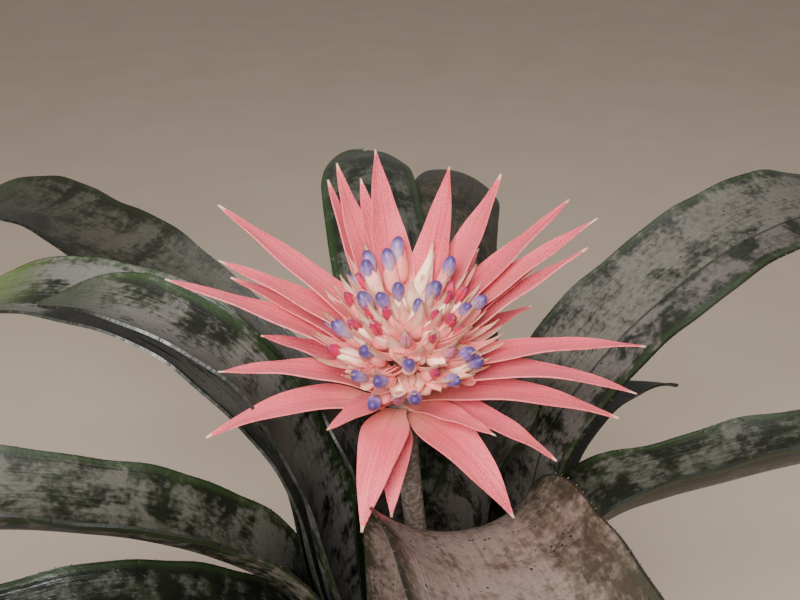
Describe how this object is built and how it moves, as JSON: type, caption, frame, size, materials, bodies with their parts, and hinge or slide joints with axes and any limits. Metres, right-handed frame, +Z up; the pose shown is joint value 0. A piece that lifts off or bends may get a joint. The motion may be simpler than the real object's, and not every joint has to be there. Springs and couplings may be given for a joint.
{
  "type": "potted bromeliad",
  "caption": "Urn-plant bromeliad: silver-banded strap leaves forming a water vase, a pyramidal pink bract head with violet flowers, in a plain round pot.",
  "frame": {"origin": "middle of the pot's underside, on the surface it stands on", "axes": "+Z up along the pot; -Y is the front, where the widest leaf arches over; +X is the right"},
  "size_m": [0.6543, 0.4749, 0.4445],
  "materials": {
    "leaf": "grey-green leaf with pale powdery cross bands, satin",
    "bract": "salmon-pink bract, fine lengthwise veins, soft matte",
    "flower": "cream and pale pink floral bracts with violet and crimson petals, soft matte",
    "stem": "pale pink mealy stem, matte",
    "mix": "coarse bark potting mix, matte",
    "pot": "terracotta-coloured moulded plastic, matte"
  },
  "bodies": {
    "root": {"pot": "pot", "potting_mix": "mix", "flower_stem": "stem", "leaf_inner_right": "leaf", "leaf_inner_left": "leaf", "leaf_back": "leaf", "leaf_back_right": "leaf", "leaf_right_high": "leaf", "leaf_left_high": "leaf", "leaf_front": "leaf", "leaf_left_curl": "leaf", "leaf_left_far": "leaf", "leaf_right_low": "leaf", "leaf_right_short": "leaf", "leaf_left_low": "leaf", "leaf_front_left": "leaf", "leaf_back_low_left": "leaf", "leaf_back_low_right": "leaf", "leaf_front_right": "leaf", "bract_01": "bract", "bract_02": "bract", "bract_03": "bract", "bract_04": "bract", "bract_05": "bract", "bract_06": "bract", "bract_07": "bract", "bract_08": "bract", "bract_09": "bract", "bract_10": "bract", "bract_11": "bract", "bract_12": "bract", "bract_13": "bract", "bract_14": "bract", "bract_15": "bract", "bract_16": "bract", "bract_17": "bract", "bract_18": "bract", "bract_19": "bract", "bract_20": "bract", "bract_21": "bract", "bract_22": "bract", "bract_23": "bract", "bract_24": "bract", "bract_25": "bract", "bract_26": "bract", "bract_27": "bract", "bract_28": "bract", "bract_29": "bract", "bract_30": "bract", "flower_cluster_01": "flower", "flower_cluster_02": "flower", "flower_cluster_03": "flower", "flower_cluster_04": "flower", "flower_cluster_05": "flower", "flower_cluster_06": "flower", "flower_cluster_07": "flower", "flower_cluster_08": "flower", "flower_cluster_09": "flower", "flower_cluster_10": "flower"}
  },
  "joints": []
}
